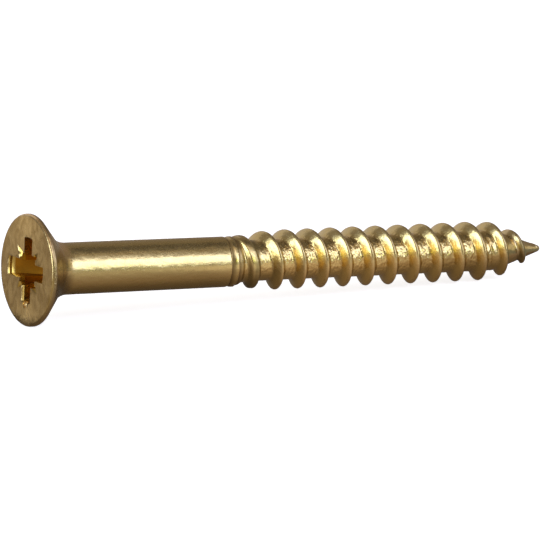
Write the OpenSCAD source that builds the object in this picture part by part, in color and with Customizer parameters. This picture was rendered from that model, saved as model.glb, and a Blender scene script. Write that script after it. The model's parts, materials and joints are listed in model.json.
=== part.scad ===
// Brass wood screw: countersunk head with a cross recess, plain shank, rolled
// thread and gimlet point. Millimetres, +Z up. It lies on the plane z = 0, on
// the rim of its head and on one crest of its thread, with its point towards
// +X. The origin is under the middle of its box.

/* [Whole screw] */
// Length from the face of the head to the point
screw_l = 40; // [32:1:60]

/* [Head] */
// Diameter of the head
head_d = 7.6; // [7.2:0.1:9.5]
// Thickness of the straight rim round the head
rim_h = 0.24; // [0.1:0.02:0.4]
// Radius of the edge between the face and the rim
rim_edge_r = 0.1; // [0.02:0.01:0.15]
// Included angle of the countersunk cone under the head
cone_angle = 98; // [80:1:100]
// Radius of the hollow between the cone and the shank
neck_r = 1.8; // [0.5:0.1:3]

/* [Cross recess] */
// Width over two opposite wings, at the face
wing_span = 4.5; // [4:0.1:5]
// Thickness of a wing
wing_w = 1.1; // [0.9:0.02:1.2]
// Depth from the face to the foot of the wings
wing_depth = 2.1; // [1.6:0.1:2.3]
// Slope of a wing's outer end, from the axis
wing_slope = 26.5; // [20:0.5:28]
// Depth of the shallow hollow below the foot of the wings
foot_h = 0.35; // [0.1:0.05:0.5]
// Width of the square well between the wings, at the face
well_w = 2.2; // [1.8:0.05:2.4]
// Slope of the well's four sides, from the axis
well_slope = 9; // [5:1:12]
// Distance from the axis that the four notches between the wings reach
notch_reach = 2.05; // [1.9:0.05:2.7]
// Width of a notch where it meets the well
notch_w = 0.4; // [0.3:0.05:0.7]
// Depth of a notch where it meets the well
notch_depth = 0.18; // [0.1:0.02:0.4]

/* [Shank] */
// Diameter of the plain shank
shank_d = 3.48; // [3:0.05:3.8]
// Depth of the ring-shaped nick between the shank and the thread
nick_depth = 0.1; // [0.05:0.01:0.2]
// Width of one side of that nick
nick_w = 0.2; // [0.1:0.01:0.3]

/* [Thread] */
// Length from the end of the plain shank to the point
thread_l = 25; // [18:0.1:27]
// Diameter over the crests
thread_d = 4.08; // [3.9:0.02:4.8]
// Diameter at the root
root_d = 2.78; // [2.3:0.02:3]
// Advance in one turn, right-handed
pitch = 1.78; // [1.5:0.01:2.2]
// Included angle of the flanks
flank_angle = 65; // [40:1:70]
// Width of the rounded crest
crest_w = 0.22; // [0.1:0.01:0.3]
// Drop from the middle of the crest to the start of the flanks
crest_drop = 0.05; // [0.02:0.01:0.1]
// Width of the hollow between the root and a flank
hollow_w = 0.12; // [0.06:0.01:0.16]
// Height of that hollow
hollow_h = 0.06; // [0.03:0.01:0.12]
// Length over which the thread grows to its full height
runout_l = 4; // [1.5:0.1:5]
// Turn of the crest where the thread starts, from the side that it lies on
start_turn = 266; // [0:1:359]

/* [Point] */
// Included angle of the point
point_angle = 36; // [30:1:46]
// Radius of the very tip
tip_r = 0.24; // [0.1:0.01:0.3]
// Length of the bare tip, past the last of the thread
tip_bare_l = 0.9; // [0.6:0.05:1.5]
// Length over which the thread sinks into the point
fade_l = 4.4; // [1.5:0.1:5]

/* [Hidden] */
brass = "#b5924a";
$fn = 96;
// Facets in one turn of the thread
turn_steps = 40;
// How far a cutter starts outside the face that it cuts
over = 0.3;
// How far the threaded blank reaches into the shank, and how much thinner
// than the nick it is there
blank_inset = 0.3;
blank_gap = 0.03;
// How early the groove deepens, and how late the ridge fades
groove_bend = 4;
fade_bend = 0.33;
// Shares of the run-out between which the groove widens and the ridge rises
widen_from = 0.05;
widen_to = 0.5;
rise_from = 0.16;
rise_to = 0.84;

head_r = head_d / 2;
shank_r = shank_d / 2;
crest_r = thread_d / 2;
root_r = root_d / 2;
nick_r = shank_r - nick_depth;
rim_end = rim_edge_r + rim_h;
shank_end = screw_l - thread_l;
nick_end = shank_end + nick_w;
bare_z = screw_l - tip_bare_l;

function clamp01(x) = min(1, max(0, x));
function mix(a, b, share) = a + (b - a) * share;

// ---- head and shank: a section turned round +Z, from the face at z = 0 ----

cone_half = cone_angle / 2;
cone_end = rim_end + (head_r - shank_r) / tan(cone_half);
neck_end = cone_end + neck_r * tan(cone_half / 2);

function arc(centre, radius, from, to, steps) =
    [for (k = [0:steps]) let (a = mix(from, to, k / steps))
        centre + radius * [cos(a), sin(a)]];

head_section = concat(
    [[0, 0]],
    arc([head_r - rim_edge_r, rim_edge_r], rim_edge_r, -90, 0, 4),
    [[head_r, rim_end]],
    arc([shank_r + neck_r, neck_end], neck_r, 180 + cone_half, 180, 8),
    [[shank_r, shank_end - nick_w], [nick_r, shank_end], [0, shank_end]]);

module head_and_shank() {
    rotate_extrude() polygon(head_section);
}

// ---- cross recess: cut from the face inwards ----

// Two opposite wings, with sloping ends and a shallow roof-shaped foot
module wing_pair() {
    mouth = wing_span / 2 + over * tan(wing_slope);
    foot = wing_span / 2 - wing_depth * tan(wing_slope);
    rotate([90, 0, 0])
        linear_extrude(wing_w, center = true)
            polygon([[-mouth, -over], [mouth, -over], [foot, wing_depth],
                     [0, wing_depth + foot_h], [-foot, wing_depth]]);
}

// A wedge that bounds the well on two opposite sides
module well_wedge() {
    mouth = well_w / 2 + over * tan(well_slope);
    foot = well_w / 2 - wing_depth * tan(well_slope);
    rotate([90, 0, 0])
        linear_extrude(2 * well_w, center = true)
            polygon([[-mouth, -over], [mouth, -over],
                     [foot, wing_depth], [-foot, wing_depth]]);
}

module well() {
    intersection() {
        well_wedge();
        rotate([0, 0, 90]) well_wedge();
    }
}

// A notch that runs out from a corner of the well and rises to the face
module notch() {
    run = notch_reach - well_w / sqrt(2);
    rise = atan(notch_depth / run);
    top = notch_depth + over;
    spread = notch_w / 2 / notch_depth;
    translate([notch_reach, 0, 0])
        rotate([0, rise - 90, 0])
            linear_extrude(run / cos(rise) + well_w / 8)
                polygon([[0, 0], [-top, top * spread], [-top, -top * spread]]);
}

module cross_recess() {
    for (turn = [0, 90]) rotate([0, 0, turn]) wing_pair();
    well();
    for (turn = [45:90:315]) rotate([0, 0, turn]) notch();
}

// ---- thread and point: one skin whose rows follow the helix ----

point_half = point_angle / 2;
// Where the point's straight sides would meet, and where its round tip starts
apex_z = screw_l + tip_r / sin(point_half) - tip_r;
tip_ball_z = screw_l - tip_r;
tip_start_z = tip_ball_z + tip_r * sin(point_half);

function point_r(z) = z >= screw_l ? 0
    : z < tip_start_z ? (apex_z - z) * tan(point_half)
    : sqrt(pow(tip_r, 2) - pow(z - tip_ball_z, 2));

// How far the thread has grown at z, from 0 at the nick to 1 past the run-out
function grown(z) = clamp01((z - nick_end) / runout_l);
function part_way(z, from, to) = clamp01((grown(z) - from) / (to - from));
// The groove starts as deep as the nick
function groove_share(z) =
    mix(nick_depth / (shank_r - root_r), 1, 1 - pow(1 - grown(z), groove_bend));
function ridge_share(z) = part_way(z, rise_from, rise_to);
// How much of the ridge is left at z, from 1 before the point to 0 on its tip
function left_share(z) = pow(clamp01((bare_z - z) / fade_l), fade_bend);

function groove_r(z) = mix(shank_r, root_r, groove_share(z));
function floor_r(z) = min(groove_r(z), point_r(z));
function ridge_h(z) = left_share(z) * clamp01((z - nick_end) / nick_w)
    * (mix(shank_r, crest_r, ridge_share(z)) - groove_r(z));

// Heights of the shoulders and feet of a ridge, as shares of its whole height
shoulder = 1 - crest_drop / (crest_r - root_r);
foot = hollow_h / (crest_r - root_r);
// Half width of the floor of the groove where the thread starts
floor_start = 0.02;

// The half section of a ridge from its foot to its shoulder, seen from the
// groove whose middle is at mid: distances from mid, with shares of height
function ridge_side(mid, ridge_z) =
    let (flank_w = (shoulder - foot) * ridge_h(ridge_z) * tan(flank_angle / 2),
         full = (pitch - crest_w) / 2 - flank_w,
         start = floor_start + hollow_w,
         foot_at = mix(start, full, part_way(mid, widen_from, widen_to)))
    [[foot_at - hollow_w, 0], [foot_at, foot], [foot_at + flank_w, shoulder]];

// One pitch of the section: a crest, then the groove up to the next ridge
function pitch_section(mid) =
    let (before = ridge_side(mid, mid - pitch / 2),
         after = ridge_side(mid, mid + pitch / 2))
    concat([[mid - pitch / 2, 1]],
           [for (k = [2:-1:0]) [mid - before[k][0], before[k][1]]],
           [for (k = [0:2]) [mid + after[k][0], after[k][1]]]);
stations = 7;

// Rows past the thread draw closer together, to end in the tip
tip_run = 2 * tip_bare_l;
function settle(z) = z < bare_z ? max(z, nick_end)
    : screw_l - tip_bare_l * pow(1 - clamp01((z - bare_z) / tip_run), 2);

function skin_point(z, share, angle) =
    let (r = floor_r(z) + share * ridge_h(z))
    [r * cos(angle), r * sin(angle), z];

// The first groove lies wholly in the nick, and the last past the tip
first_mid = shank_end - pitch * (1.5 + start_turn / 360);
grooves = ceil((bare_z + tip_run - first_mid) / pitch + 1.5);
rows = 2 + grooves * stations;
last_row = rows - 1;

// One column of the skin, from inside the shank to the tip
function skin_column(turn) =
    let (a = 360 * turn, blank_r = nick_r - blank_gap)
    concat(
        [[blank_r * cos(a), blank_r * sin(a), shank_end - blank_inset],
         [blank_r * cos(a), blank_r * sin(a), shank_end + blank_gap]],
        [for (g = [0:grooves - 1], s = pitch_section(first_mid + pitch * (g + turn)))
            skin_point(settle(s[0]), s[1], a)]);

skin = [for (j = [0:turn_steps - 1]) each skin_column(j / turn_steps)];

// A row that has gone once round carries on as the row one pitch further
function skin_index(row, column) = column < turn_steps
    ? column * rows + row
    : row < 2 ? row : min(row + stations, last_row);

function differ(f) = skin[f[0]] != skin[f[1]] && skin[f[1]] != skin[f[2]] && skin[f[2]] != skin[f[0]];

skin_faces = concat(
    [[for (j = [0:turn_steps - 1]) skin_index(0, j)]],
    [for (j = [0:turn_steps - 1], i = [0:last_row - 1])
        let (a = skin_index(i, j), b = skin_index(i, j + 1),
             c = skin_index(i + 1, j + 1), d = skin_index(i + 1, j))
        each [for (f = [[a, c, b], [a, d, c]]) if (differ(f)) f]]);

module thread_and_point() {
    polyhedron(skin, skin_faces, convexity = 8);
}

// ---- the whole screw, laid down ----

// The crests on the side that it lies on, and the slope that each would allow
lying_crests = [for (z = [shank_end + pitch * (1 - start_turn / 360):pitch:bare_z]) if (z > nick_end) z];
lying_tilt = min([for (z = lying_crests) atan((head_r - floor_r(z) - ridge_h(z)) / (z - rim_end))]);
lying_middle = (screw_l * cos(lying_tilt) - (head_r - rim_edge_r) * sin(lying_tilt)) / 2;
lying_height = head_r * cos(lying_tilt) + rim_end * sin(lying_tilt);

module wood_screw() {
    color(brass)
        translate([-lying_middle, 0, lying_height])
            rotate([0, 90 + lying_tilt, 0])
                union() {
                    difference() {
                        head_and_shank();
                        cross_recess();
                    }
                    thread_and_point();
                }
}

wood_screw();
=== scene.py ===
import json
import math

import bmesh
import bpy
from mathutils import Matrix, Vector, noise


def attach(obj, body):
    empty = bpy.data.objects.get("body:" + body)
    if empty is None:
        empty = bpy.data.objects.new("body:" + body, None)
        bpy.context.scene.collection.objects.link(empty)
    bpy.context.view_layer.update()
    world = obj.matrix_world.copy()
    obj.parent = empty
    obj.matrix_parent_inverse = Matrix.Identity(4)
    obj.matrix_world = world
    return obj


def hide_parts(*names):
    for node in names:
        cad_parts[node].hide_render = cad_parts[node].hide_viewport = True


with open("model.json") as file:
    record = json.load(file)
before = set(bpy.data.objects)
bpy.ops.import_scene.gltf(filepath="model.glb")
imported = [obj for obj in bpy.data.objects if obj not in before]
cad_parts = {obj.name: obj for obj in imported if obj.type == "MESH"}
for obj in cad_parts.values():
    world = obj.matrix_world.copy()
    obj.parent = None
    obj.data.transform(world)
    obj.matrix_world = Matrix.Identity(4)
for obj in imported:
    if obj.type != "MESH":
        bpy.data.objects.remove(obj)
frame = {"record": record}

scene = bpy.context.scene
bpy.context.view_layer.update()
mm = 0.001


# ---- Forged head and drawn shank ----
# The screw starts as a length of drawn brass wire. Its end is upset in a die
# into the countersunk head, so the face has a soft edge, a narrow straight
# rim, a cone under it and a hollow where the cone runs into the shank.

screw_l = 40 * mm
head_r = 3.8 * mm
rim_edge_r = 0.16 * mm
rim_back_r = 0.07 * mm
rim_end = 0.34 * mm
cone_half = math.radians(49)
neck_r = 1.8 * mm
neck_z = 3 * mm
shank_r = 1.72 * mm
shank_taper = 0.0035
blank_end = 14.4 * mm
facets = 160
shank_rows = 20
face_ring_shares = (0.12, 0.24, 0.36, 0.48, 0.6, 0.7, 0.8, 0.88, 0.94)


def arc(centre, radius, start, end, count):
    """Points of a section on an arc, as (distance from the axis, distance from the face)."""
    angles = [math.radians(start + (end - start) * k / count) for k in range(count + 1)]
    return [(centre[0] + radius * math.cos(a), centre[1] + radius * math.sin(a)) for a in angles]


def drawn_r(z):
    """The shank tapers slightly towards the thread."""
    return shank_r + shank_taper * (blank_end - z)


cone_turn = math.degrees(cone_half)
neck_end = (rim_end + (head_r - drawn_r(neck_z)) / math.tan(cone_half)
            + neck_r * math.tan(cone_half / 2))
back_centre = (head_r - rim_back_r, rim_end - rim_back_r * math.tan(cone_half / 2))
neck_centre = (drawn_r(neck_end) + neck_r, neck_end)
shank_places = [neck_end + (blank_end - neck_end) * k / shank_rows
                for k in range(1, shank_rows + 1)]
section = ([(head_r * share, 0) for share in face_ring_shares]
           + arc((head_r - rim_edge_r, rim_edge_r), rim_edge_r, -90, 0, count=4)
           + arc(back_centre, rim_back_r, 0, 90 - cone_turn, count=3)
           + arc(neck_centre, neck_r, 180 + cone_turn, 180, count=14)
           + [(drawn_r(z), z) for z in shank_places])

head = bmesh.new()
centre = head.verts.new((0, 0, 0))
around = [2 * math.pi * j / facets for j in range(facets)]
rings = [[head.verts.new((r * math.cos(a), r * math.sin(a), z)) for a in around]
         for r, z in section]
for j in range(facets):
    head.faces.new((centre, rings[0][(j + 1) % facets], rings[0][j]))
    for near, far in zip(rings, rings[1:]):
        head.faces.new((near[j], near[(j + 1) % facets], far[(j + 1) % facets], far[j]))
# a flat closes the blank while the recess is cut
head.faces.new(rings[-1])

head_mesh = bpy.data.meshes.new("forged_head")
bmesh.ops.recalc_face_normals(head, faces=head.faces)
head.to_mesh(head_mesh)
head.free()
screw = bpy.data.objects.new("brass_screw", head_mesh)
scene.collection.objects.link(screw)


# ---- Cross recess ----
# A punch drives the recess into the face while the head is forged: four wings
# with turned ends, a square well that narrows downwards, and four notches.
# Brass is soft, so the punch leaves a rounded mouth with a ragged lip.

off_centre = -0.15 * mm
over = 0.3 * mm

wing_r = 2.25 * mm
wing_half = 0.55 * mm
wing_depth = 2.1 * mm
wing_slope = math.tan(math.radians(26.5))
wing_places = (-over, 0, 0.7 * mm, 1.4 * mm, wing_depth)
wing_inner_x = -0.4 * wing_half
wing_end_steps = 6
well_half = 1.1 * mm
well_slope = math.tan(math.radians(9))
foot_h = 0.35 * mm
foot_half = 0.82 * mm
foot_end_half = 0.08 * mm
foot_overlap = 0.02 * mm
notch_reach = 2.02 * mm
notch_half = 0.2 * mm
notch_depth = 0.17 * mm
notch_overlap = 1.3

# the lowest wing has one side worn back to a chamfer, and a burr has broken
# out at its end and left a small hollow
lowest_wing = 0
worn_back = 0.17 * mm
worn_depth = 0.12 * mm
hollow_r = 0.25 * mm
hollow_place = (wing_r + 0.06 * mm, 0.2 * mm, 0.03 * mm)

# the punch has slipped at the wing on the far side: the mouth is flared, with
# a step and a chamfer below it, the end stands steeper further down, and the
# notch beside it is larger. Each row holds a depth, a reach and a flare
slipped_wing = 1
slipped_ends = ((-over, 2.9 * mm, 0.1 * mm),
                (0, 2.84 * mm, 0.1 * mm),
                (0.08 * mm, 2.72 * mm, 0.05 * mm),
                (0.24 * mm, 2.69 * mm, 0.04 * mm),
                (0.37 * mm, 2.54 * mm, 0),
                (0.9 * mm, 2.26 * mm, 0),
                (wing_depth, 1.45 * mm, 0))
slipped_notch_reach = 0.24 * mm
slipped_notch_half = 0.07 * mm


def loft(target, outlines):
    """A closed solid through outlines that all have the same number of points."""
    loops = [[target.verts.new(p) for p in outline] for outline in outlines]
    count = len(loops[0])
    for near, far in zip(loops, loops[1:]):
        for j in range(count):
            target.faces.new((near[j], near[(j + 1) % count], far[(j + 1) % count], far[j]))
    target.faces.new(loops[0])
    target.faces.new(list(reversed(loops[-1])))


def turned(points, turn):
    """Points turned round the axis of the screw."""
    return [Matrix.Rotation(turn, 3, "Z") @ Vector(p) for p in points]


def wing_outline(z, end_r, turn, flare, lean):
    """The outline of one wing at depth z: two straight sides and a turned end."""
    low, high = -(wing_half + flare), wing_half + flare + lean
    spread = math.asin(high / end_r) - math.asin(low / end_r)
    ends_at = [math.asin(low / end_r) + spread * k / wing_end_steps
               for k in range(wing_end_steps + 1)]
    points = [(wing_inner_x, low, z)]
    points += [(end_r * math.cos(a), end_r * math.sin(a), z) for a in ends_at]
    points += [(wing_inner_x, high, z)]
    return turned(points, turn)


def square_outline(z, half, turn):
    """A square across the axis at depth z."""
    return turned([(half * x, half * y, z) for x, y in ((-1, -1), (1, -1), (1, 1), (-1, 1))], turn)


punch = bmesh.new()
for quarter in range(4):
    turn = quarter * math.pi / 2
    ends = [(z, wing_r - z * wing_slope, 0) for z in wing_places]
    lean = {}
    reach_here, half_here = notch_reach, notch_half
    if quarter == lowest_wing:
        ends.insert(2, (worn_depth, wing_r - worn_depth * wing_slope, 0))
        lean = {-over: worn_back, 0: worn_back}
    elif quarter == slipped_wing:
        ends = slipped_ends
        reach_here += slipped_notch_reach
        half_here += slipped_notch_half
    loft(punch, [wing_outline(z, end_r, turn, flare, lean.get(z, 0)) for z, end_r, flare in ends])
    # a notch is a wedge whose bottom rises from the corner of the well to the face
    run = reach_here - well_half * math.sqrt(2)
    spread = half_here / notch_depth
    wedge = []
    for x in (reach_here, reach_here - notch_overlap * run):
        floor_z = notch_depth * (reach_here - x) / run
        top = floor_z + over
        wedge.append(turned(((x, 0, floor_z),
                             (x, top * spread, floor_z - top),
                             (x, -top * spread, floor_z - top)), turn + math.pi / 4))
    loft(punch, wedge)
loft(punch, [square_outline(z, well_half - z * well_slope, 0) for z in (-over, 0, wing_depth)])
loft(punch, [square_outline(wing_depth - foot_overlap, foot_half, math.pi / 4),
             square_outline(wing_depth + foot_h, foot_end_half, math.pi / 4)])
bmesh.ops.create_icosphere(punch, subdivisions=3, radius=hollow_r,
                           matrix=Matrix.Translation(hollow_place))
bmesh.ops.recalc_face_normals(punch, faces=punch.faces)
bmesh.ops.translate(punch, verts=punch.verts, vec=(0, off_centre, 0))
punch_mesh = bpy.data.meshes.new("recess_punch")
punch.to_mesh(punch_mesh)
punch.free()
punch_object = bpy.data.objects.new("recess_punch", punch_mesh)
scene.collection.objects.link(punch_object)


def finished_mesh(piece):
    """A plain mesh of a piece with its modifiers applied."""
    return bpy.data.meshes.new_from_object(
        piece.evaluated_get(bpy.context.evaluated_depsgraph_get()))


punched = screw.modifiers.new("Punched recess", "BOOLEAN")
punched.operation = "DIFFERENCE"
punched.solver = "EXACT"
punched.use_self = True
punched.object = punch_object
head_mesh = finished_mesh(screw)
screw.modifiers.clear()
screw.data = head_mesh
bpy.data.objects.remove(punch_object)

# the flat that closed the blank goes, because the thread joins on there
end_gap = 0.001 * mm
head = bmesh.new()
head.from_mesh(head_mesh)
end_flat = [f for f in head.faces if f.calc_center_median().z > blank_end - end_gap]
bmesh.ops.delete(head, geom=end_flat, context="FACES_ONLY")

# the mouth is rounded, and then its lip is raised here and there
mouth_reach = 0.8 * head_r
mouth_round = 0.045 * mm
flat_gap = 0.002 * mm
flat_normal_z = -0.995
weld_gap = 0.0005 * mm
long_edge = 0.12 * mm
short_edge = 0.1 * mm
lip_depth = 0.06 * mm
lip_reach = 3.1 * mm
lip_normal_z = -0.98
lip_h = 0.035 * mm
lip_share = 0.3
lip_grain = 0.5 * mm
lip_seed = Vector((3, 7, 1))
sharp_angle = math.radians(32)


def mouth_edges():
    """Edges where the flat face turns down into the recess."""
    found = []
    for edge in head.edges:
        if len(edge.link_faces) == 2 and all(abs(v.co.z) < flat_gap for v in edge.verts):
            flat = [f.normal.z < flat_normal_z for f in edge.link_faces]
            if flat[0] != flat[1] and edge.verts[0].co.length < mouth_reach:
                found.append(edge)
    return found


head.normal_update()
for edge in [e for e in mouth_edges() if e.calc_length() > long_edge]:
    bmesh.ops.subdivide_edges(head, edges=[edge], cuts=max(1, int(edge.calc_length() / short_edge)))
head.normal_update()
bmesh.ops.bevel(head, geom=mouth_edges(), offset=mouth_round, segments=2, profile=0.6,
                affect="EDGES", clamp_overlap=True)
bmesh.ops.remove_doubles(head, verts=head.verts, dist=weld_gap)
head.normal_update()
for vert in head.verts:
    near_mouth = vert.co.z < lip_depth and vert.co.length < lip_reach
    if near_mouth and any(f.normal.z > lip_normal_z for f in vert.link_faces):
        vert.co.z -= max(0, lip_share + noise.noise(vert.co / lip_grain + lip_seed)) * lip_h
bmesh.ops.triangulate(head, faces=[f for f in head.faces if len(f.verts) > 4])
for edge in head.edges:
    if len(edge.link_faces) == 2:
        edge.smooth = edge.calc_face_angle() < sharp_angle
for face in head.faces:
    face.smooth = True
head.to_mesh(head_mesh)
head.free()


# ---- Rolled thread and gimlet point ----
# Two flat dies press grooves into the blank and push crests up past the shank.
# The thread starts at a nick, a bead and a fold, and sinks into the point. It
# follows a rule, so geometry nodes make it, with their rows along the helix.

pitch = 1.78 * mm
crest_r = 2.04 * mm
root_r = 1.39 * mm
rows_a_pitch = 30
bare_l = 0.9 * mm

rolling = bpy.data.node_groups.new("Rolled thread", "GeometryNodeTree")
rolling.is_modifier = True
for in_or_out in ("INPUT", "OUTPUT"):
    rolling.interface.new_socket("Geometry", in_out=in_or_out, socket_type="NodeSocketGeometry")
thread_sizes = {
    "Screw length": screw_l,
    "Shank end": 15 * mm,
    "Blank end": blank_end,
    "Thread start": 15.2 * mm,
    "Shank radius": shank_r,
    "Crest radius": crest_r,
    "Root radius": root_r,
    "Pitch": pitch,
    "Start turn": 266 / 360,
    "Run-out length": 4 * mm,
    "Flank slope": math.tan(math.radians(32.5)),
    "Crest width": 0.22 * mm,
    "Crest drop": 0.05 * mm,
    "Crest rounding": 0.1 * mm,
    "Hollow width": 0.12 * mm,
    "Hollow rounding": 0.12 * mm,
    "First groove": 0.02 * mm,
    "First depth": 0.095 * mm,
    "Groove start": 15.4 * mm,
    "Groove widening": 1.8 * mm,
    "Ridge start": 15.85 * mm,
    "Ridge growth": 2.7 * mm,
    "Nick place": 15.16 * mm,
    "Nick width": 0.36 * mm,
    "Nick depth": 0.13 * mm,
    "Fold place": 15.74 * mm,
    "Fold width": 0.55 * mm,
    "Fold depth": 0.12 * mm,
    "Askew": 0.25 * mm,
    "Last fold place": 35.2 * mm,
    "Last fold depth": 0.07 * mm,
    "Point slope": math.tan(math.radians(18)),
    "Point rounding": 0.2 * mm,
    "Tip radius": 0.24 * mm,
    "Bare tip length": bare_l,
    "Fade length": 4.4 * mm,
    "Tool marks": 0.006 * mm,
    "Root chatter": 0.018 * mm,
    "Seed": 4,
    "Facets round": facets,
    "Rows a pitch": rows_a_pitch,
    "Rows": int((screw_l + bare_l - blank_end + pitch) / pitch * rows_a_pitch) + 2,
}
for name, value in thread_sizes.items():
    kind = "NodeSocketInt" if isinstance(value, int) else "NodeSocketFloat"
    socket = rolling.interface.new_socket(name, in_out="INPUT", socket_type=kind)
    socket.default_value = value
rolling.interface.new_socket("Brass", in_out="INPUT", socket_type="NodeSocketMaterial")
given = rolling.nodes.new("NodeGroupInput").outputs

# how steeply the groove deepens and the last crest fades, as powers
deepening = 4.0
fading = 0.33
# sizes below which a divisor is held, so that nothing is divided by zero
least_top = 0.01 * mm
least_ridge = 0.02 * mm
# the step at a nick or a fold, and how the blank falls away past the fold
step_w = 0.08 * mm
askew_turn = 0.25
blank_fall = 0.45 * mm
blank_fall_l = 0.9 * mm
blank_last = 17 * mm
thread_round = 0.03 * mm
tip_gap = 0.0005 * mm
# half the width and length of the fold near the point, and how far it is full
last_fold_w = 0.13 * mm
last_fold_l = 0.7 * mm
last_fold_full = 1.3
rolled_fade = 0.6 * mm
join_gap = 0.0008 * mm
# the unevenness: grain sizes, the stretch along the axis, and the depth in
# the head past which it begins, so that the recess stays as the punch made it
mark_size, mark_stretch, mark_seed = 1.1 * mm, 2.5, 0.0
chatter_size, chatter_stretch, chatter_seed = 0.28 * mm, 1.0, 11.0
root_sharpness = 3.0
clear_depth = 0.5 * mm
clear_l = 1.0 * mm


def join(tree, source, socket):
    """Links a socket to another, or sets it to a plain value."""
    if isinstance(source, bpy.types.NodeSocket):
        tree.links.new(source, socket)
    else:
        socket.default_value = source


def work(operation, *values, tree=rolling):
    """One Math node of a tree."""
    node = tree.nodes.new("ShaderNodeMath")
    node.operation = operation
    for value, socket in zip(values, node.inputs):
        join(tree, value, socket)
    return node.outputs[0]


def add(a, b): return work("ADD", a, b)
def less(a, b): return work("SUBTRACT", a, b)
def times(a, b): return work("MULTIPLY", a, b)
def over_by(a, b): return work("DIVIDE", a, b)
def held(a): return work("MINIMUM", work("MAXIMUM", a, 0.0), 1.0)
def between(a, b, share): return add(a, times(less(b, a), share))
def eased(a): return times(times(held(a), held(a)), less(3.0, times(2.0, held(a))))


def vector(x, y, z, tree=rolling):
    """A vector from three values."""
    node = tree.nodes.new("ShaderNodeCombineXYZ")
    for value, socket in zip((x, y, z), node.inputs):
        join(tree, value, socket)
    return node.outputs[0]


def parts(source, tree=rolling):
    """The three values of a vector."""
    node = tree.nodes.new("ShaderNodeSeparateXYZ")
    join(tree, source, node.inputs[0])
    return node.outputs


grid = rolling.nodes.new("GeometryNodeMeshGrid")
join(rolling, 1.0, grid.inputs["Size X"])
join(rolling, 1.0, grid.inputs["Size Y"])
join(rolling, add(given["Facets round"], 1.0), grid.inputs["Vertices X"])
join(rolling, given["Rows"], grid.inputs["Vertices Y"])
flat_place = parts(rolling.nodes.new("GeometryNodeInputPosition").outputs[0])
turn = add(flat_place[0], 0.5)
row = times(add(flat_place[1], 0.5), less(given["Rows"], 1.0))

# where a row lies: it climbs one pitch in a turn, starts at the nick, and
# draws in to the tip past the end of the thread
climb = add(less(given["Blank end"], given["Pitch"]),
            times(given["Pitch"], add(turn, over_by(row, given["Rows a pitch"]))))
bare_z = less(given["Screw length"], given["Bare tip length"])
drawn = held(over_by(less(climb, bare_z), times(2.0, given["Bare tip length"])))
past = less(given["Screw length"],
            times(given["Bare tip length"], work("POWER", less(1.0, drawn), 2.0)))
on_thread = work("LESS_THAN", climb, bare_z)
z = between(past, work("MAXIMUM", climb, given["Blank end"]), on_thread)

# the nearest crest and the middle of the nearest groove
phase = add(less(over_by(less(z, given["Shank end"]), given["Pitch"]), turn), given["Start turn"])
from_crest = times(given["Pitch"], less(phase, work("ROUND", phase)))
from_middle = times(given["Pitch"], less(phase, add(work("FLOOR", phase), 0.5)))
crest_z = less(z, from_crest)
middle_z = less(z, from_middle)


def grown(place):
    """How far the thread has grown in its run-out, from 0 to 1."""
    return held(over_by(less(place, given["Thread start"]), given["Run-out length"]))


def groove_share(place):
    """The depth of the groove as a share of its full depth."""
    first = over_by(given["First depth"], less(given["Shank radius"], given["Root radius"]))
    return between(first, 1.0, less(1.0, work("POWER", less(1.0, grown(place)), deepening)))


def groove_r(place):
    """The radius of the bottom of the groove."""
    return between(given["Shank radius"], given["Root radius"], groove_share(place))


# the ridge: it rises in the run-out, fades out at the point, and has straight
# flanks, a crest that is slightly round, and a hollow at its foot
left = work("POWER", held(over_by(less(bare_z, crest_z), given["Fade length"])), fading)
raised = held(over_by(less(crest_z, given["Ridge start"]), given["Ridge growth"]))
ridge_top = between(given["Shank radius"], given["Crest radius"], raised)
ridge_h = work("MAXIMUM", times(left, less(ridge_top, groove_r(z))), 0.0)
whole_h = less(given["Crest radius"], given["Root radius"])
shoulder = less(1.0, over_by(given["Crest drop"], whole_h))
flank_w = times(times(shoulder, ridge_h), given["Flank slope"])
full_foot = less(times(less(given["Pitch"], given["Crest width"]), 0.5), flank_w)
foot_at = between(add(given["First groove"], given["Hollow width"]), full_foot,
                  held(over_by(less(middle_z, given["Groove start"]), given["Groove widening"])))
to_middle = work("ABSOLUTE", from_middle)
flank = over_by(less(to_middle, foot_at), given["Flank slope"])
top_w = less(less(times(given["Pitch"], 0.5), foot_at), flank_w)
across_top = held(over_by(work("ABSOLUTE", from_crest), work("MAXIMUM", top_w, least_top)))
crown = work("POWER", across_top, 2.0)
top = times(ridge_h, less(1.0, times(less(1.0, shoulder), crown)))
ridge = work("SMOOTH_MIN", flank, top, times(given["Crest rounding"], over_by(ridge_h, whole_h)))
ridge = work("SMOOTH_MAX", ridge, 0.0, given["Hollow rounding"])

# the end of the plain blank: a nick, a bead and a fold run askew round it.
# Both drop steeply and rise gently, and past the fold the blank falls away
angle = times(turn, 2 * math.pi)
askew = times(given["Askew"], add(times(askew_turn, work("COSINE", angle)), work("SINE", angle)))
from_nick = less(less(z, given["Nick place"]), askew)
from_fold = less(less(z, given["Fold place"]), askew)


def step_down(beyond, width, depth):
    """A depth that is full at a step and rises back over a width beyond it."""
    rise = work("POWER", held(less(1.0, over_by(beyond, width))), 2.0)
    return times(times(eased(add(1.0, over_by(beyond, step_w))), rise), depth)


nick = step_down(from_nick, given["Nick width"], given["Nick depth"])
first_fold = step_down(from_fold, given["Fold width"], given["Fold depth"])
blank_r = less(less(given["Shank radius"], nick),
               times(blank_fall, eased(over_by(from_fold, blank_fall_l))))
blank_r = times(blank_r, work("LESS_THAN", z, blank_last))
in_thread = work("GREATER_THAN", from_fold, 0.0)
share = held(over_by(ridge, work("MAXIMUM", ridge_h, least_ridge)))

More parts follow.
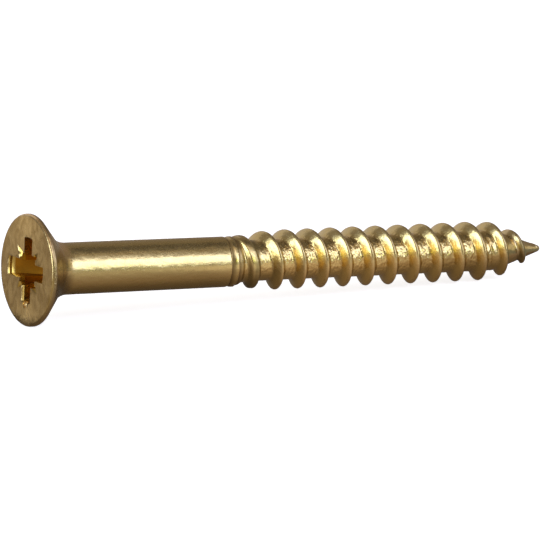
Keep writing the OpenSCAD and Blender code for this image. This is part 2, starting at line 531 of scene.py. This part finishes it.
# the point: straight sides with a round tip
half_angle = work("ARCTANGENT", given["Point slope"])
apex_z = less(add(given["Screw length"], over_by(given["Tip radius"], work("SINE", half_angle))),
              given["Tip radius"])
cone_r = times(less(apex_z, z), given["Point slope"])
ball_z = less(given["Screw length"], given["Tip radius"])
ball_r = work("SQRT", work("MAXIMUM", 0.0, less(work("POWER", given["Tip radius"], 2.0),
                                                work("POWER", less(z, ball_z), 2.0))))
in_ball = work("GREATER_THAN", z, add(ball_z, times(given["Tip radius"], work("SINE", half_angle))))
point_r = between(cone_r, ball_r, in_ball)
at_end = work("LESS_THAN", z, less(given["Screw length"], tip_gap))
point_round = work("MINIMUM", given["Point rounding"], times(point_r, 0.5))
floor_r = work("SMOOTH_MIN", groove_r(z), point_r, point_round)
# the metal has folded in one groove near the point
from_last_fold = work("ABSOLUTE", less(z, given["Last fold place"]))
last_fold = times(held(less(1.0, over_by(to_middle, last_fold_w))),
                  held(less(last_fold_full, over_by(from_last_fold, last_fold_l))))
floor_r = less(floor_r, times(last_fold, given["Last fold depth"]))
threaded_r = times(add(floor_r, ridge), in_thread)
outer_r = work("SMOOTH_MAX", threaded_r, blank_r, times(thread_round, in_thread))
r = times(at_end, less(outer_r, first_fold))
rolled_place = vector(times(r, work("COSINE", angle)), times(r, work("SINE", angle)), z)


def keep(geometry, name, kind, value):
    """Stores a field on the points, for the brass to read."""
    node = rolling.nodes.new("GeometryNodeStoreNamedAttribute")
    node.data_type = kind
    node.domain = "POINT"
    node.inputs["Name"].default_value = name
    join(rolling, geometry, node.inputs["Geometry"])
    join(rolling, value, node.inputs["Value"])
    return node.outputs[0]


def kept(name):
    """A stored field."""
    node = rolling.nodes.new("GeometryNodeInputNamedAttribute")
    node.inputs["Name"].default_value = name
    return node.outputs[0]


# the flat grid keeps what each of its points is, and is then rolled up
rolled = times(grown(z), held(over_by(less(bare_z, z), rolled_fade)))
pressed = held(add(over_by(nick, given["Nick depth"]), over_by(first_fold, given["Fold depth"])))
skin = keep(grid.outputs["Mesh"], "ridge_share", "FLOAT", share)
skin = keep(skin, "rolled", "FLOAT", rolled)
skin = keep(skin, "pressed", "FLOAT", pressed)
shape = rolling.nodes.new("GeometryNodeSetPosition")
join(rolling, skin, shape.inputs["Geometry"])
join(rolling, rolled_place, shape.inputs["Position"])
smooth = rolling.nodes.new("GeometryNodeSetShadeSmooth")
join(rolling, shape.outputs[0], smooth.inputs["Geometry"])
both = rolling.nodes.new("GeometryNodeJoinGeometry")
join(rolling, smooth.outputs[0], both.inputs[0])
join(rolling, given["Geometry"], both.inputs[0])
merge = rolling.nodes.new("GeometryNodeMergeByDistance")
join(rolling, both.outputs[0], merge.inputs["Geometry"])
join(rolling, join_gap, merge.inputs["Distance"])

# the dies and the wire leave the surface a little uneven, most in the roots
place = rolling.nodes.new("GeometryNodeInputPosition").outputs[0]
place_x, place_y, place_z = parts(place)


def grain(size, stretch, seed_step):
    """Signed noise over the surface, drawn out along the axis by stretch."""
    node = rolling.nodes.new("ShaderNodeTexNoise")
    node.noise_dimensions = "4D"
    node.inputs["Scale"].default_value = 1.0
    node.inputs["Detail"].default_value = 1.0
    scaled = vector(over_by(place_x, size), over_by(place_y, size),
                    over_by(place_z, size * stretch))
    join(rolling, scaled, node.inputs["Vector"])
    join(rolling, add(given["Seed"], seed_step), node.inputs["W"])
    return less(node.outputs[0], 0.5)


in_root = times(kept("rolled"), held(less(1.0, times(kept("ridge_share"), root_sharpness))))
marks = times(grain(mark_size, mark_stretch, mark_seed), given["Tool marks"])
chatter = times(grain(chatter_size, chatter_stretch, chatter_seed), given["Root chatter"])
off = add(marks, times(chatter, in_root))
clear_of_recess = held(over_by(less(place_z, clear_depth), clear_l))
push = rolling.nodes.new("ShaderNodeVectorMath")
push.operation = "SCALE"
join(rolling, rolling.nodes.new("GeometryNodeInputNormal").outputs[0], push.inputs[0])
join(rolling, times(off, times(clear_of_recess, 2.0)), push.inputs["Scale"])
placed = keep(merge.outputs[0], "blank_place", "FLOAT_VECTOR", place)
uneven = rolling.nodes.new("GeometryNodeSetPosition")
join(rolling, placed, uneven.inputs["Geometry"])
join(rolling, push.outputs[0], uneven.inputs["Offset"])

real = rolling.nodes.new("GeometryNodeRealizeInstances")
join(rolling, uneven.outputs[0], real.inputs[0])
finish = rolling.nodes.new("GeometryNodeSetMaterial")
join(rolling, real.outputs[0], finish.inputs["Geometry"])
join(rolling, given["Brass"], finish.inputs["Material"])
rolled_out = rolling.nodes.new("NodeGroupOutput")
join(rolling, finish.outputs[0], rolled_out.inputs[0])


# ---- Brass ----
# The whole screw is one metal, drawn brass that has dulled a little. The shank
# keeps fine lines, the roots are scuffed, the ridges are greyer on their upper
# side, and the struck face is streaked, with a painted sheen in two places.
# Light and shade are painted in too: shade in the nick, on two bands of the
# thread and on one wall of the recess, bounced light in the recess, a highlight
# in the hollow of the burr, and light on the point and the cone under the head.

brass_colour = (0.58, 0.44, 0.17, 1)
tarnish_colour = (0.47, 0.325, 0.115, 1)
ridge_colour = (0.75, 0.56, 0.19, 1)
scuffed_colour = (0.50, 0.355, 0.135, 1)
crest_colour = (0.45, 0.34, 0.16, 1)
greyed_colour = (0.62, 0.51, 0.25, 1)
nick_shade_colour = (0.24, 0.155, 0.06, 1)
lit_end_colour = (0.64, 0.51, 0.27, 1)
band_shade_colour = (0.30, 0.225, 0.085, 1)
cone_shade_colour = (0.42, 0.31, 0.12, 1)
cone_light_colour = (0.74, 0.52, 0.23, 1)
face_colours = (0.30, 0.212, 0.082, 1), (0.47, 0.36, 0.168, 1)
sheen_colours = (0.54, 0.40, 0.17, 1), (0.84, 0.67, 0.34, 1)
wall_bounce_colour = (0.50, 0.345, 0.09, 1)
deep_bounce_colour = (1.0, 0.70, 0.05, 1)
slipped_wall_shade_colour = (0.34, 0.155, 0.013, 1)
chamfer_side_colour = (0.30, 0.20, 0.07, 1)
hollow_highlight_colour = (0.95, 0.70, 0.32, 1)
rim_colour = (0.31, 0.215, 0.095, 1)
plain_roughness = 0.27

# where the finishes lie on the head, in the recess and on the thread
recess_start_z = 0.02 * mm
recess_edge_r = 2.92 * mm
recess_edge_slope = 0.55
face_end_z = 0.05 * mm
rim_start_r = 3.74 * mm
rim_start_z = 0.15 * mm
cone_end_z = 2.8 * mm
deep_z = 0.5 * mm
slipped_y = 0.2 * mm
slipped_z = 0.36 * mm
worn_x = 1.1 * mm
worn_y = 0.45 * mm
hollow_x = 2.12 * mm
fold_z = 15.75 * mm
scuffed_end_z = 36.5 * mm
lit_end_z = 36.6 * mm
# each band of painted shade by its start and end, and each spot of painted
# sheen by its place across the face and its radius
shaded_bands = ((16.5 * mm, 17.3 * mm), (37.75 * mm, 38.4 * mm))
sheen_spots = ((-3.5 * mm, 0.5 * mm, 2.7 * mm), (3.6 * mm, -0.1 * mm, 1.7 * mm))
spot_reach = 1.15
# how sharply roots, ridges and crests part by the height of the ridge, and how
# strong the nick, the patches and the streaks are
root_gain = 4.0
ridge_gain = 2.5
crest_start = 0.75
crest_gain = 5.0
nick_gain = 1.3
patch_gain = 1.6
streak_gain = 3.0

brass = bpy.data.materials.new("brass")
brass.use_nodes = True
metal = brass.node_tree
metal.nodes.clear()
surface = metal.nodes.new("ShaderNodeBsdfPrincipled")
surface_out = metal.nodes.new("ShaderNodeOutputMaterial")
join(metal, surface.outputs[0], surface_out.inputs["Surface"])
surface.inputs["Metallic"].default_value = 1.0


def own(name, output="Fac"):
    """A field that the thread's tree has stored."""
    node = metal.nodes.new("ShaderNodeAttribute")
    node.attribute_name = name
    return node.outputs[output]


def figure(operation, *values):
    return work(operation, *values, tree=metal)


def clamp(value):
    return figure("MINIMUM", figure("MAXIMUM", value, 0.0), 1.0)


def product(a, b):
    return figure("MULTIPLY", a, b)


def beyond(value, start, run):
    """0 up to a start, and 1 from a run past it on."""
    return clamp(figure("DIVIDE", figure("SUBTRACT", value, start), run))


def short_of(value, end, run):
    """1 up to a run before an end, and 0 from the end on."""
    return clamp(figure("DIVIDE", figure("SUBTRACT", end, value), run))


def around_place(value, place, half, reach):
    """1 near a place, falling to 0 at a reach of so many halves from it."""
    away = figure("ABSOLUTE", figure("SUBTRACT", value, place))
    return clamp(figure("SUBTRACT", reach, figure("DIVIDE", away, half)))


def length_of(a, b):
    return figure("SQRT", figure("ADD", figure("POWER", a, 2.0), figure("POWER", b, 2.0)))


def swing(pattern, amount):
    """A pattern about its middle value, times an amount."""
    return product(figure("SUBTRACT", pattern, 0.5), amount)


def blend(a, b, share):
    node = metal.nodes.new("ShaderNodeMix")
    node.data_type = "RGBA"
    join(metal, share, node.inputs[0])
    join(metal, a, node.inputs[6])
    join(metal, b, node.inputs[7])
    return node.outputs[2]


# places on the screw: x points down as it lies, y to the far side, z to the point
blank_x, blank_y, blank_z = parts(own("blank_place", "Vector"), tree=metal)
from_axis = length_of(blank_x, blank_y)
upward = figure("DIVIDE", product(blank_x, -1.0), from_axis)
ridge_share = own("ridge_share")
rolled_share = own("rolled")


def grains(across_x, across_y, along, detail=2.0, seed=None, distortion=0.0):
    """Noise with grains of the given sizes. Without a size along the screw it runs straight."""
    node = metal.nodes.new("ShaderNodeTexNoise")
    node.inputs["Scale"].default_value = 1.0
    node.inputs["Detail"].default_value = detail
    node.inputs["Distortion"].default_value = distortion
    if seed is not None:
        node.noise_dimensions = "4D"
        node.inputs["W"].default_value = seed
    scaled_z = figure("DIVIDE", blank_z, along) if along else 0.0
    scaled = vector(figure("DIVIDE", blank_x, across_x), figure("DIVIDE", blank_y, across_y),
                    scaled_z, tree=metal)
    join(metal, scaled, node.inputs["Vector"])
    return node.outputs[0]


drawn_lines = grains(0.05 * mm, 0.05 * mm, 2 * mm, detail=3.0, seed=1.0)
mottle = grains(0.32 * mm, 0.32 * mm, 0.64 * mm, seed=2.0)
cloud = grains(2.2 * mm, 2.2 * mm, 2.86 * mm, seed=3.0)
scuff = grains(0.24 * mm, 0.24 * mm, 0.168 * mm, detail=1.5, seed=4.0)
dents = grains(0.17 * mm, 0.17 * mm, 0.17 * mm, detail=1.0, seed=5.0)
turned_lines = grains(2 * mm, 2 * mm, 0.09 * mm)
# the struck face has soft streaks, longer than they are wide
streaks = grains(1.1 * mm, 0.7 * mm, None, distortion=1.1)

# the head: the walls inside the tapering wings, the face and the rim
recess_edge = figure("SUBTRACT", recess_edge_r, product(blank_z, recess_edge_slope))
in_recess = product(short_of(from_axis, recess_edge, run=0.05 * mm),
                    beyond(blank_z, recess_start_z, run=0.03 * mm))
on_face = short_of(blank_z, face_end_z, run=0.03 * mm)
on_rim = product(beyond(from_axis, rim_start_r, run=0.02 * mm),
                 beyond(blank_z, rim_start_z, run=0.03 * mm))
rim_sides = product(on_rim, around_place(blank_x, 0.0, half=0.9 * mm, reach=1.6))
on_cone = short_of(blank_z, cone_end_z, run=0.4 * mm)

# the recess: its deep part, the wall where the punch has slipped, the worn
# side of the lowest wing away from the well, and the hollow of the burr
deep = beyond(blank_z, deep_z, run=0.5 * mm)
# painted shade: the wall where the punch has slipped is coloured dark
slipped = product(beyond(blank_y, slipped_y, run=0.3 * mm),
                  beyond(blank_z, slipped_z, run=0.06 * mm))
# the worn side of the lowest wing is coloured darker
worn = product(beyond(blank_x, worn_x, run=0.5 * mm), beyond(blank_y, worn_y, run=0.05 * mm))
# painted highlight: the hollow of the burr is coloured bright
in_hollow = beyond(blank_x, hollow_x, run=0.05 * mm)

# the thread: the roots, the ridges and their crests, the steps at its start,
# and the last turn, which is coloured lighter as painted light
on_root = product(rolled_share, clamp(figure("SUBTRACT", 1.0, product(ridge_share, root_gain))))
on_root = product(on_root, short_of(blank_z, scuffed_end_z, run=2.5 * mm))
on_ridge = product(rolled_share, clamp(product(ridge_share, ridge_gain)))
above_start = figure("SUBTRACT", ridge_share, crest_start)
on_crest = product(rolled_share, clamp(product(above_start, crest_gain)))
# painted shade: the nick and the first fold are coloured darker
in_nick = clamp(product(own("pressed"), nick_gain))
at_fold = around_place(blank_z, fold_z, half=0.35 * mm, reach=1.2)
# painted light: the last turn and the point are coloured lighter and greyer
painted_lit_end = beyond(blank_z, lit_end_z, run=1.0 * mm)
# the ridges are greyer on their upper side, as the screw lies
greyed = product(on_ridge, beyond(upward, 0.5, run=0.3))
# painted shade: a band round the first ridge, on its side towards the point, and one round the last
# ridge are coloured darker; they are rougher too
dull_shaded_band = 0.0
for start_z, end_z in shaded_bands:
    in_shaded_band = product(beyond(blank_z, start_z, run=0.2 * mm),
                      short_of(blank_z, end_z, run=0.15 * mm))
    dull_shaded_band = figure("ADD", dull_shaded_band, in_shaded_band)

# the face is patchy and streaked, and brighter in two places near its edge, where a sheen is
# painted
patchy = swing(cloud, patch_gain)
streaky = clamp(figure("ADD", patchy, figure("ADD", 0.5, swing(streaks, streak_gain))))
painted_sheen = 0.0
for spot_x, spot_y, spot_r in sheen_spots:
    from_spot = length_of(figure("SUBTRACT", blank_x, spot_x), figure("SUBTRACT", blank_y, spot_y))
    on_spot = clamp(figure("SUBTRACT", spot_reach, figure("DIVIDE", from_spot, spot_r)))
    painted_sheen = figure("ADD", painted_sheen, on_spot)
face_colour = blend(blend(*face_colours, streaky), blend(*sheen_colours, streaky),
                    clamp(painted_sheen))
# painted light and shade: the cone under the head is coloured lighter on its upper side and darker
# below
painted_cone_light = blend(cone_shade_colour, cone_light_colour, beyond(upward, 0.3, run=0.5))
# painted bounced light: the recess is tinted a deeper orange than the brass, most in its deep part
painted_recess_bounce = blend(wall_bounce_colour, deep_bounce_colour, deep)

# each tint lies over the ones before it
tarnished = clamp(figure("ADD", patchy, product(on_crest, 0.1)))
spotted = clamp(product(mottle, 1.4))
colour = blend(brass_colour, tarnish_colour, tarnished)
for tint, cover in (
        (ridge_colour, product(on_ridge, 0.75)),
        (scuffed_colour, product(on_root, clamp(product(figure("SUBTRACT", scuff, 0.4), 2.0)))),
        (crest_colour, product(on_crest, 0.7)),
        (greyed_colour, product(greyed, spotted)),
        (nick_shade_colour, product(in_nick, 0.8)),
        (lit_end_colour, product(painted_lit_end, spotted)),
        (band_shade_colour, product(dull_shaded_band, clamp(figure("ADD", mottle, 0.3)))),
        (painted_cone_light, on_cone),
        (face_colour, on_face),
        (painted_recess_bounce, in_recess),
        (slipped_wall_shade_colour, product(slipped, in_recess)),
        (chamfer_side_colour, product(product(worn, in_recess), 0.8)),
        (hollow_highlight_colour, product(in_hollow, in_recess)),
        (rim_colour, product(on_rim, 0.85))):
    colour = blend(colour, tint, cover)
join(metal, colour, surface.inputs["Base Color"])

rough = figure("ADD", plain_roughness, swing(mottle, 0.16))
for mask, change in ((rolled_share, -0.03), (on_crest, 0.05), (product(in_recess, deep), 0.14),
                     (on_rim, 0.15), (in_nick, 0.15), (dull_shaded_band, 0.12)):
    rough = figure("ADD", rough, product(mask, change))
join(metal, rough, surface.inputs["Roughness"])

# the relief: the walls of the recess are smooth, and the rest is not
relief_h = figure("ADD", swing(drawn_lines, 0.0012 * mm), swing(mottle, 0.02 * mm))
relief_h = figure("ADD", relief_h, product(swing(streaks, on_face), 0.02 * mm))
relief_h = product(relief_h, figure("SUBTRACT", 1.0, in_recess))
for pattern, mask, depth in ((turned_lines, at_fold, 0.02 * mm), (dents, rim_sides, 0.10 * mm),
                             (scuff, on_root, 0.075 * mm)):
    relief_h = figure("ADD", relief_h, product(swing(pattern, mask), depth))
relief = metal.nodes.new("ShaderNodeBump")
relief.inputs["Strength"].default_value = 1.0
relief.inputs["Distance"].default_value = 1.0
join(metal, relief_h, relief.inputs["Height"])
join(metal, relief.outputs[0], surface.inputs["Normal"])


# ---- The finished screw ----
# One piece: the head and shank with the rolled thread on them. It lies on the
# rim of its head and a crest, where the record's recess mount puts it.

roll = screw.modifiers.new("Rolled thread", "NODES")
roll.node_group = rolling
for item in rolling.interface.items_tree:
    if item.in_out == "INPUT" and item.name in thread_sizes:
        roll[item.identifier] = thread_sizes[item.name]
    elif item.in_out == "INPUT" and item.name == "Brass":
        roll[item.identifier] = brass
whole = finished_mesh(screw)
screw.modifiers.clear()
screw.data = whole

recess = next(m for m in frame["record"]["mounts"] if m["name"] == "drive_recess")
recess_place = Vector(recess["pos_m"])
along = -Vector(recess["axis"]).normalized()
side = Vector((0, 1, 0))
down = side.cross(along)
laid = Matrix((down, side, along)).transposed().to_4x4()
laid.translation = recess_place
whole.transform(laid)

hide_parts("wood_screw")
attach(screw, "root")


# ---- Floor, light and camera ----
# A white table in a dim room. Soft boxes stand at the front and above it,
# overhead, past the head and past the point, with a grey wall behind and a dark
# card above the point. What the metal mirrors of the table is a painted glow,
# with painted shade that darkens it in bands towards the screw.

floor_half = 3.0
table_paint = (0.64, 0.62, 0.60, 1)
table_glow = 0.80
# the painted glow and shade that the metal sees of the table, in bands from
# the front (first) to the back, in mm
table_bands = ((-40, (0.30, 0.30, 0.30)), (-12, (0.78, 0.72, 0.72)),
               (-6, (0.53, 0.45, 0.44)), (-3, (0.36, 0.27, 0.23)),
               (-1, (0.16, 0.117, 0.09)), (1, (0.10, 0.075, 0.06)),
               (4, (0.13, 0.12, 0.11)), (12, (0.05, 0.05, 0.05)))
# its painted tones past the head and past the point, and how bright the glow is
# along the screw: a first strength, and then a start, a run and a change for each ramp
table_ends = (("LESS_THAN", -22 * mm, (0.64, 0.53, 0.41, 1)),
              ("GREATER_THAN", 22 * mm, (0.20, 0.21, 0.20, 1)))
table_strength = 0.9
table_ramps = ((-5 * mm, 6 * mm, 0.75), (8 * mm, 6 * mm, -0.5))


def square_sheet(name, half):
    """A square sheet that faces upwards, with its middle at the origin."""
    mesh = bpy.data.meshes.new(name)
    corners = [(-half, -half, 0), (half, -half, 0), (half, half, 0), (-half, half, 0)]
    mesh.from_pydata(corners, [], [(0, 1, 2, 3)])
    piece = bpy.data.objects.new(name, mesh)
    scene.collection.objects.link(piece)
    return piece


floor = square_sheet("studio_floor", floor_half)
paper = bpy.data.materials.new("white_table")
paper.use_nodes = True
sheet = paper.node_tree
sheet.nodes.clear()


def tone(operation, *values):
    return work(operation, *values, tree=sheet)


# the camera sees white with the shadow of the screw on it
rays = sheet.nodes.new("ShaderNodeLightPath").outputs
matt = sheet.nodes.new("ShaderNodeBsdfDiffuse")
matt.inputs["Color"].default_value = table_paint
glow = sheet.nodes.new("ShaderNodeEmission")
join(sheet, tone("MULTIPLY", rays["Is Camera Ray"], table_glow), glow.inputs["Strength"])
lit = sheet.nodes.new("ShaderNodeAddShader")
join(sheet, matt.outputs[0], lit.inputs[0])
join(sheet, glow.outputs[0], lit.inputs[1])

# the metal sees the painted glow: the bands of painted shade and the ends
table_place = parts(sheet.nodes.new("ShaderNodeTexCoord").outputs["Object"], tree=sheet)
bands = sheet.nodes.new("ShaderNodeValToRGB")
first_y = table_bands[0][0]
bands_w = table_bands[-1][0] - first_y
while len(bands.color_ramp.elements) < len(table_bands):
    bands.color_ramp.elements.new(0.5)
for stop, (band_y, band_colour) in zip(bands.color_ramp.elements, table_bands):
    stop.position = (band_y - first_y) / bands_w
    stop.color = (*band_colour, 1)
band_share = tone("DIVIDE", tone("SUBTRACT", table_place[1], first_y * mm), bands_w * mm)
join(sheet, band_share, bands.inputs[0])
table_colour = bands.outputs[0]
for operation, edge_x, end_colour in table_ends:
    end = sheet.nodes.new("ShaderNodeMix")
    end.data_type = "RGBA"
    join(sheet, tone(operation, table_place[0], edge_x), end.inputs[0])
    join(sheet, table_colour, end.inputs[6])
    join(sheet, end_colour, end.inputs[7])
    table_colour = end.outputs[2]
strength = table_strength
for start_x, run_x, change in table_ramps:
    share_x = tone("DIVIDE", tone("SUBTRACT", table_place[0], start_x), run_x)
    share_x = tone("MINIMUM", tone("MAXIMUM", share_x, 0.0), 1.0)
    strength = tone("ADD", strength, tone("MULTIPLY", share_x, change))
mirrored = sheet.nodes.new("ShaderNodeEmission")
join(sheet, table_colour, mirrored.inputs["Color"])
join(sheet, strength, mirrored.inputs["Strength"])
by_metal = tone("MAXIMUM", rays["Is Glossy Ray"], rays["Is Transmission Ray"])
together = sheet.nodes.new("ShaderNodeMixShader")
join(sheet, by_metal, together.inputs[0])
join(sheet, lit.outputs[0], together.inputs[1])
join(sheet, mirrored.outputs[0], together.inputs[2])
sheet_out = sheet.nodes.new("ShaderNodeOutputMaterial")
join(sheet, together.outputs[0], sheet_out.inputs["Surface"])
floor.data.materials.append(paper)

# the room is dim to all but the camera
room_tone = (0.26, 0.22, 0.195, 1)
room = bpy.data.worlds.new("dim_room")
scene.world = room
room.use_nodes = True
air = room.node_tree
air.nodes.clear()
room_rays = air.nodes.new("ShaderNodeLightPath").outputs
room_colour = air.nodes.new("ShaderNodeMix")
room_colour.data_type = "RGBA"
join(air, room_rays["Is Camera Ray"], room_colour.inputs[0])
join(air, room_tone, room_colour.inputs[6])
join(air, (1, 1, 1, 1), room_colour.inputs[7])
room_light = air.nodes.new("ShaderNodeBackground")
join(air, room_colour.outputs[2], room_light.inputs["Color"])
room_out = air.nodes.new("ShaderNodeOutputWorld")
join(air, room_light.outputs[0], room_out.inputs["Surface"])

# the lamps and the card stand round the middle of the screw, facing it
middle = Vector((0, 0, 2 * mm))
box_away = 0.30
card_away = 0.28
card_half = 0.09
card_colour = (0.2, 0.18, 0.17, 1)


def towards(azimuth, elevation):
    """A direction by its turn from the front and its height, in degrees."""
    azimuth, elevation = math.radians(azimuth), math.radians(elevation)
    return Vector((math.sin(azimuth) * math.cos(elevation),
                   -math.cos(azimuth) * math.cos(elevation), math.sin(elevation)))


def set_up(piece, azimuth, elevation, away):
    """Puts a lamp or a card in a direction from the screw, facing it."""
    direction = towards(azimuth, elevation)
    piece.location = middle + direction * away
    piece.rotation_euler = direction.to_track_quat("Z", "Y").to_euler()


def soft_box(name, azimuth, elevation, width, height, radiance):
    lamp = bpy.data.lights.new(name, "AREA")
    lamp.shape = "RECTANGLE"
    lamp.size = width
    lamp.size_y = height
    lamp.color = [channel / radiance[0] for channel in radiance]
    lamp.energy = radiance[0] * math.pi * width * height
    box = bpy.data.objects.new(name, lamp)
    set_up(box, azimuth, elevation, box_away)
    scene.collection.objects.link(box)


# turn, height, width and height in metres, and radiance
soft_box("front_soft_box", 37.5, 20, 0.155, 0.164, (2.7, 3.1, 5.0))
soft_box("tip_soft_box", 66, 14, 0.11, 0.14, (0.62, 0.59, 0.48))
soft_box("front_warm_box", 16, 13, 0.065, 0.085, (1.9, 2.5, 0.5))
soft_box("front_top_box", 9, 42, 0.19, 0.14, (1.95, 2.1, 3.1))
soft_box("top_box", 30, 70, 0.15, 0.12, (1.1, 0.92, 0.85))
soft_box("left_soft_box", -80, 19, 0.21, 0.20, (3.7, 4.2, 5.0))
soft_box("back_wall", 184, 27, 0.30, 0.28, (0.40, 0.39, 0.45))

card = square_sheet("black_card", card_half)
set_up(card, 92, 70, card_away)
soot = bpy.data.materials.new("black_card")
soot.use_nodes = True
soot_surface = soot.node_tree.nodes["Principled BSDF"]
soot_surface.inputs["Base Color"].default_value = card_colour
soot_surface.inputs["Roughness"].default_value = 0.9
card.data.materials.append(soot)

# a long lens from far off; its turn and height are in degrees, and it aims at
# a place so many millimetres from the recess mount
camera_turn = -29.0386
camera_height = 10.5245
camera_away = 609.71
camera_lens = 598.93333
aim_offset = (17.8810, -1.4413, -1.3585)
camera_back = towards(camera_turn, camera_height)
aim = recess_place + Vector(aim_offset) * mm
camera_data = bpy.data.cameras.new("camera")
camera_data.lens = camera_lens
camera_data.sensor_width = 36
camera_data.clip_start = 0.01
camera_data.clip_end = 20
camera = bpy.data.objects.new("camera", camera_data)
camera.location = aim + camera_back * camera_away * mm
camera.rotation_mode = "QUATERNION"
camera.rotation_quaternion = camera_back.to_track_quat("Z", "Y")
scene.collection.objects.link(camera)
scene.camera = camera
scene.view_settings.view_transform = "Standard"
